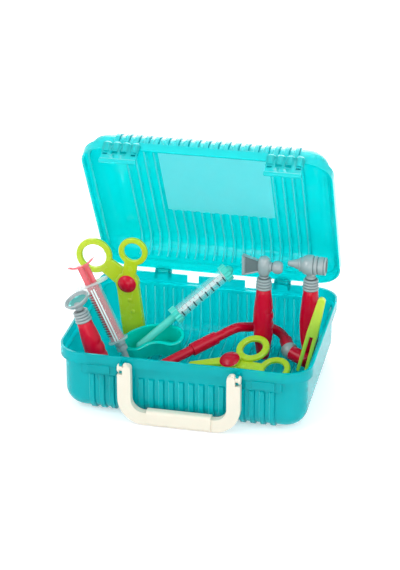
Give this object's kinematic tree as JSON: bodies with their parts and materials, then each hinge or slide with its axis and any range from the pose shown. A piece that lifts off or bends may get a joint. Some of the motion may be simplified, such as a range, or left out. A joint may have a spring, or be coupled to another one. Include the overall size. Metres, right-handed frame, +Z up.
{
  "type": "toy doctor case",
  "caption": "Open see-through ribbed toy case with hinged lid, swinging handle and a doctor's kit: syringe, scissors, mirror, hammer, ear scope, thermometer, stethoscope",
  "frame": {"origin": "on the ground, at the middle of the case's footprint", "axes": "+X along the case, to the right when seen from its handle side; +Y from the handle towards the hinge; +Z up"},
  "size_m": [0.2867, 0.2447, 0.266],
  "materials": {
    "case_plastic": "gloss",
    "handle_plastic": "satin",
    "green_plastic": "gloss",
    "red_plastic": "gloss",
    "grey_plastic": "satin",
    "clear_plastic": "gloss",
    "clear_red_plastic": "gloss",
    "dish_plastic": "gloss",
    "knob_plastic": "gloss",
    "mirror": "gloss",
    "scale_plastic": "satin"
  },
  "bodies": {
    "case": {"case_base": "case_plastic"},
    "lid": {"case_lid": "case_plastic"},
    "handle": {"carrying_handle": "handle_plastic"},
    "scissors": {"scissors_front_half": "green_plastic", "scissors_rivet": "red_plastic"},
    "scissors_arm": {"scissors_back_half": "green_plastic"},
    "syringe": {"syringe_barrel": "clear_plastic", "syringe_nozzle": "grey_plastic"},
    "plunger": {"syringe_plunger": "clear_red_plastic"},
    "mirror": {"mirror_grip": "red_plastic", "mirror_head": "grey_plastic", "mirror_disc": "mirror"},
    "dish": {"kidney_dish": "dish_plastic"},
    "thermometer": {"thermometer_stem": "knob_plastic", "thermometer_tube": "clear_plastic", "thermometer_scale": "scale_plastic", "thermometer_cap": "knob_plastic"},
    "stethoscope": {"stethoscope_tube": "red_plastic", "stethoscope_sleeve": "red_plastic", "stethoscope_cuff": "red_plastic", "stethoscope_band": "grey_plastic", "stethoscope_bell": "red_plastic"},
    "hammer": {"hammer_grip": "red_plastic", "hammer_head": "grey_plastic"},
    "otoscope": {"otoscope_grip": "red_plastic", "otoscope_head": "grey_plastic"},
    "tweezers": {"tweezers": "green_plastic"},
    "forceps": {"forceps_upper_half": "green_plastic", "forceps_rivet": "red_plastic"},
    "forceps_arm": {"forceps_lower_half": "green_plastic"}
  },
  "joints": [
    {"name": "lid_hinge", "type": "hinge", "parent": "case", "child": "lid", "pos_m": [0, 0.109, 0.072], "axis": [-1, 0, 0], "range_deg": [-10, 45]},
    {"name": "handle_hinge", "type": "hinge", "parent": "case", "child": "handle", "pos_m": [0, -0.111, 0.063], "axis": [-1, 0, 0], "range_deg": [0, 170]},
    {"name": "scissors_rivet_hinge", "type": "hinge", "parent": "scissors", "child": "scissors_arm", "pos_m": [-0.0946, 0.0496, 0.0821], "axis": [0, -1, 0], "range_deg": [-8, 16]},
    {"name": "forceps_rivet_hinge", "type": "hinge", "parent": "forceps", "child": "forceps_arm", "pos_m": [0.029, 0.0105, 0.0182], "axis": [0.156, 0.3461, -0.9251], "range_deg": [0, 12]},
    {"name": "plunger_slide", "type": "slide", "parent": "syringe", "child": "plunger", "axis": [-0.4574, 0.1315, 0.8795], "range_m": [0, 0.035]},
    {"name": "scissors_lift", "type": "slide", "parent": "case", "child": "scissors", "axis": [0, 0, 1], "range_m": [0, 0.03]},
    {"name": "syringe_lift", "type": "slide", "parent": "case", "child": "syringe", "axis": [0, 0, 1], "range_m": [0, 0.06]},
    {"name": "mirror_lift", "type": "slide", "parent": "case", "child": "mirror", "axis": [0, 0, 1], "range_m": [0, 0.06]},
    {"name": "dish_lift", "type": "slide", "parent": "case", "child": "dish", "axis": [0.3, 0, 0.9539], "range_m": [0, 0.018]},
    {"name": "thermometer_lift", "type": "slide", "parent": "dish", "child": "thermometer", "axis": [0, 0, 1], "range_m": [0, 0.02]},
    {"name": "stethoscope_lift", "type": "slide", "parent": "case", "child": "stethoscope", "axis": [0, 0, 1], "range_m": [0, 0.05]},
    {"name": "hammer_lift", "type": "slide", "parent": "case", "child": "hammer", "axis": [0, 0, 1], "range_m": [0, 0.05]},
    {"name": "otoscope_lift", "type": "slide", "parent": "case", "child": "otoscope", "axis": [0, 0, 1], "range_m": [0, 0.04]},
    {"name": "tweezers_lift", "type": "slide", "parent": "case", "child": "tweezers", "axis": [0, 0, 1], "range_m": [0, 0.06]},
    {"name": "forceps_lift", "type": "slide", "parent": "case", "child": "forceps", "axis": [0, -0.5, 0.866], "range_m": [0, 0.06]}
  ]
}
